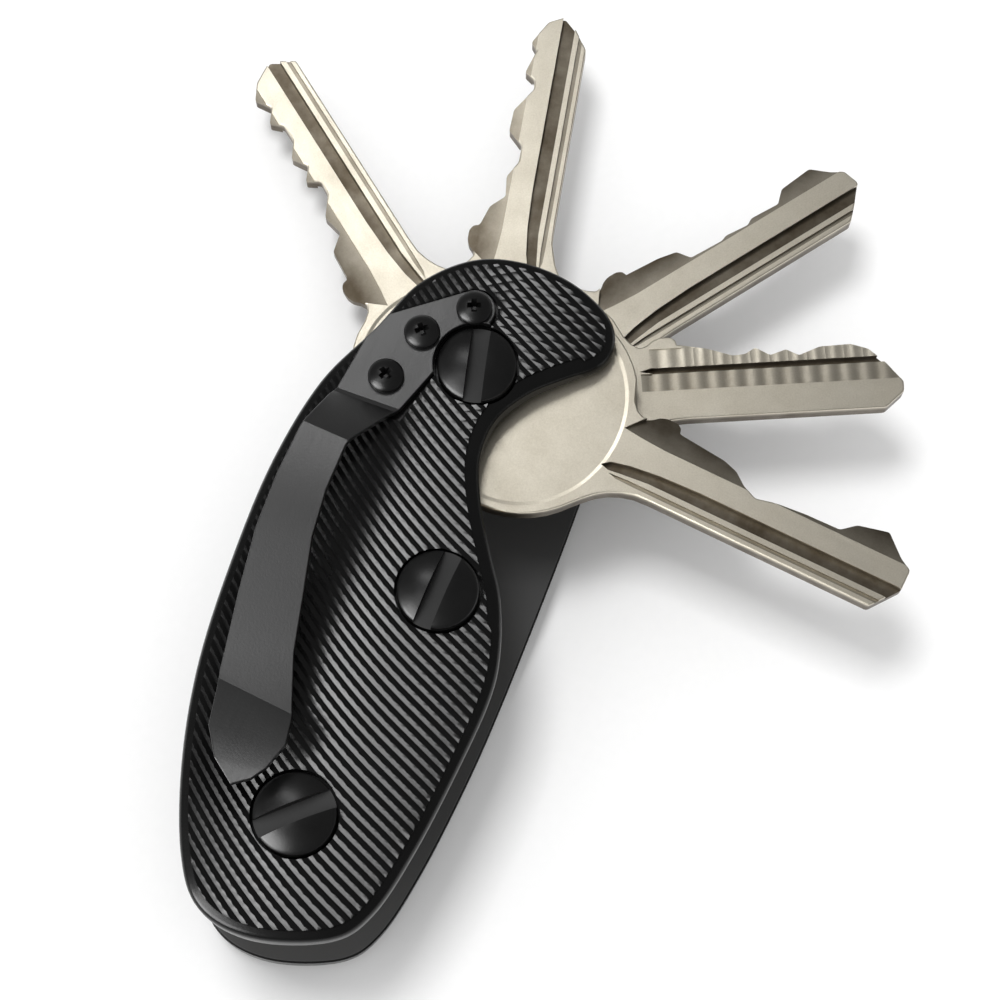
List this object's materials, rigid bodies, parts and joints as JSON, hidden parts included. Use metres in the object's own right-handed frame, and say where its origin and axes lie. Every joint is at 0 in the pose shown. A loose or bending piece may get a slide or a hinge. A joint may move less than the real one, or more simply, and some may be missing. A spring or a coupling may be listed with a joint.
{
  "type": "key organiser",
  "caption": "Pocket key organiser: two crowned plates clamped on coin-slot posts, with flat keys that fan out from a pivot and fold between the plates, and a pocket clip.",
  "frame": {"origin": "centre of the pivot post's flat back head, in the plane the organiser rests on", "axes": "+Z out of the front plate along the pivot, +Y along the organiser towards the nose, +X towards the thumb notch"},
  "size_m": [0.0909, 0.1156, 0.0257],
  "materials": {
    "black_anodised": "black anodised, knurled on the outer face",
    "black_oxide": "black oxide, satin on the clip and polished on the screw heads",
    "bright_steel": "plain",
    "brass": "turned",
    "nickel_silver": "nickel silver, stamped and milled"
  },
  "bodies": {
    "case": {"front_plate": "black_anodised", "back_plate": "black_anodised", "clip_foot": "black_oxide", "clip_screw_1": "black_oxide", "clip_screw_2": "black_oxide", "clip_screw_3": "black_oxide", "pivot_screw": "black_oxide", "middle_screw": "black_oxide", "end_screw": "black_oxide", "pivot_post": "black_oxide", "middle_post": "black_oxide", "end_post": "black_oxide", "middle_sleeve": "brass", "end_sleeve": "brass", "washer_1": "bright_steel", "washer_2": "bright_steel", "washer_3": "bright_steel", "washer_4": "bright_steel", "washer_5": "bright_steel", "washer_6": "bright_steel"},
    "key_1": {"key_1": "nickel_silver"},
    "key_2": {"key_2": "nickel_silver"},
    "key_3": {"key_3": "nickel_silver"},
    "key_4": {"key_4": "nickel_silver"},
    "key_5": {"key_5": "nickel_silver"},
    "clip_arm": {"clip_arm": "black_oxide"}
  },
  "joints": [
    {"name": "key_1_swing", "type": "hinge", "parent": "case", "child": "key_1", "pos_m": [0, 0, 0.0111], "axis": [0, 0, 1], "range_deg": [-202, 120]},
    {"name": "key_2_swing", "type": "hinge", "parent": "case", "child": "key_2", "pos_m": [0, 0, 0.0111], "axis": [0, 0, 1], "range_deg": [-160, 161]},
    {"name": "key_3_swing", "type": "hinge", "parent": "case", "child": "key_3", "pos_m": [0, 0, 0.0111], "axis": [0, 0, 1], "range_deg": [-112, 208]},
    {"name": "key_4_swing", "type": "hinge", "parent": "case", "child": "key_4", "pos_m": [0, 0, 0.0111], "axis": [0, 0, 1], "range_deg": [-83, 238]},
    {"name": "key_5_swing", "type": "hinge", "parent": "case", "child": "key_5", "pos_m": [0, 0, 0.0111], "axis": [0, 0, 1], "range_deg": [-55, 268]},
    {"name": "clip_flex", "type": "hinge", "parent": "case", "child": "clip_arm", "pos_m": [-0.0095, -0.0077, 0.0217], "axis": [-1, 0, 0], "range_deg": [0, 5], "stiffness_Nm_per_rad": 3}
  ]
}
